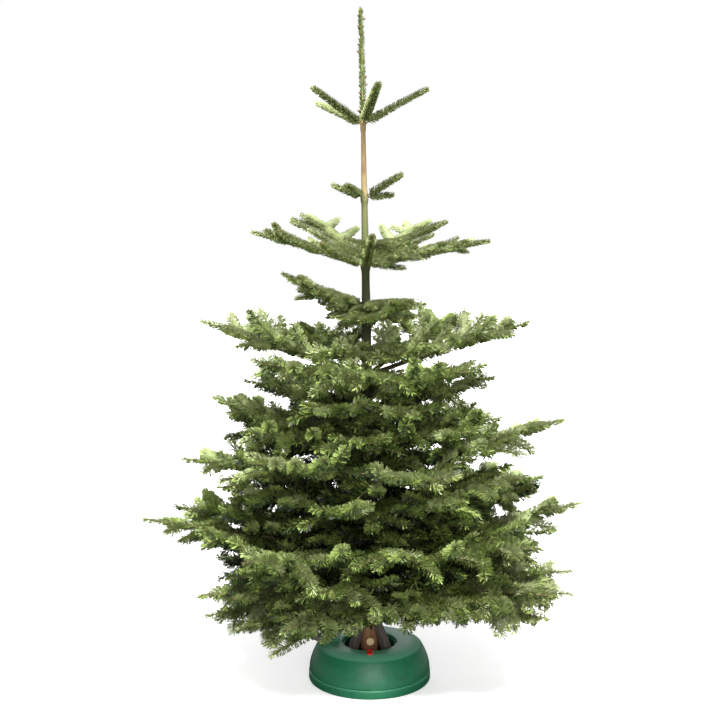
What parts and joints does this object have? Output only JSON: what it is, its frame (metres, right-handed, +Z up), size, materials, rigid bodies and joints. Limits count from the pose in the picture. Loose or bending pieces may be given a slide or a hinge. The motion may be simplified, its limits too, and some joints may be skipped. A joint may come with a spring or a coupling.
{
  "type": "cut fir tree in clamp stand",
  "caption": "Cut fir about as tall as a person, in open tiers of boughs with flat sprays of needles, held upright by four jaws in a round water-filled plastic stand.",
  "frame": {"origin": "centre of the stand's flat underside, which is also the foot mount", "axes": "+Z up along the trunk, +X towards the tree's right as seen from the front, -Y towards the front"},
  "size_m": [1.2987, 0.9841, 1.9261],
  "materials": {
    "bark": "grey-brown bark, smooth with resin blisters, green and thin on the last year's wood",
    "needles": "flat glossy needles, mid green above and silvery underneath",
    "green_plastic": "moulded bottle-green plastic with a fine leather grain and a soft shine",
    "dark_plastic": "dark aubergine-brown moulded plastic with worn edges",
    "gauge_red": "bright red plastic"
  },
  "bodies": {
    "root": {"bough_tier2_1": "bark", "bough_tier2_2": "bark", "bough_tier2_3": "bark", "bough_tier2_4": "bark", "bough_tier3_1": "bark", "bough_tier3_2": "bark", "bough_tier3_3": "bark", "bough_tier3_4": "bark", "bough_tier3_5": "bark", "bough_tier3_6": "bark", "needles_between1_1": "needles", "needles_between1_2": "needles", "needles_between2_1": "needles", "needles_between2_2": "needles", "needles_between2_3": "needles", "needles_between2_4": "needles", "needles_tier1_1": "needles", "needles_tier1_2": "needles", "needles_tier1_3": "needles", "needles_tier1_4": "needles", "needles_tier1_5": "needles", "needles_tier2_1": "needles", "needles_tier2_2": "needles", "needles_tier2_3": "needles", "needles_tier2_4": "needles", "needles_tier2_front_1": "needles", "needles_tier2_front_2": "needles", "needles_tier2_front_3": "needles", "needles_tier3_1": "needles", "needles_tier3_2": "needles", "needles_tier3_3": "needles", "needles_tier3_4": "needles", "needles_tier3_5": "needles", "needles_tier3_6": "needles", "needles_tier4_1": "needles", "needles_tier4_2": "needles", "needles_tier4_3": "needles", "needles_tier4_4": "needles", "needles_tier4_5": "needles", "needles_tier4_6": "needles", "needles_tier4_7": "needles", "needles_tier5_1": "needles", "needles_tier5_2": "needles", "needles_tier5_3": "needles", "needles_tier5_4": "needles", "needles_tier5_5": "needles", "needles_tier5_6": "needles", "needles_tier5_7": "needles", "stand_cover": "green_plastic", "stand_gauge": "gauge_red", "stand_jaw_1": "dark_plastic", "stand_jaw_2": "dark_plastic", "stand_jaw_3": "dark_plastic", "stand_jaw_4": "dark_plastic", "stand_lever": "dark_plastic", "stand_tray": "green_plastic", "stand_well": "green_plastic", "top_shoots": "needles", "trunk": "bark", "upper_shoots": "needles"}
  },
  "joints": []
}
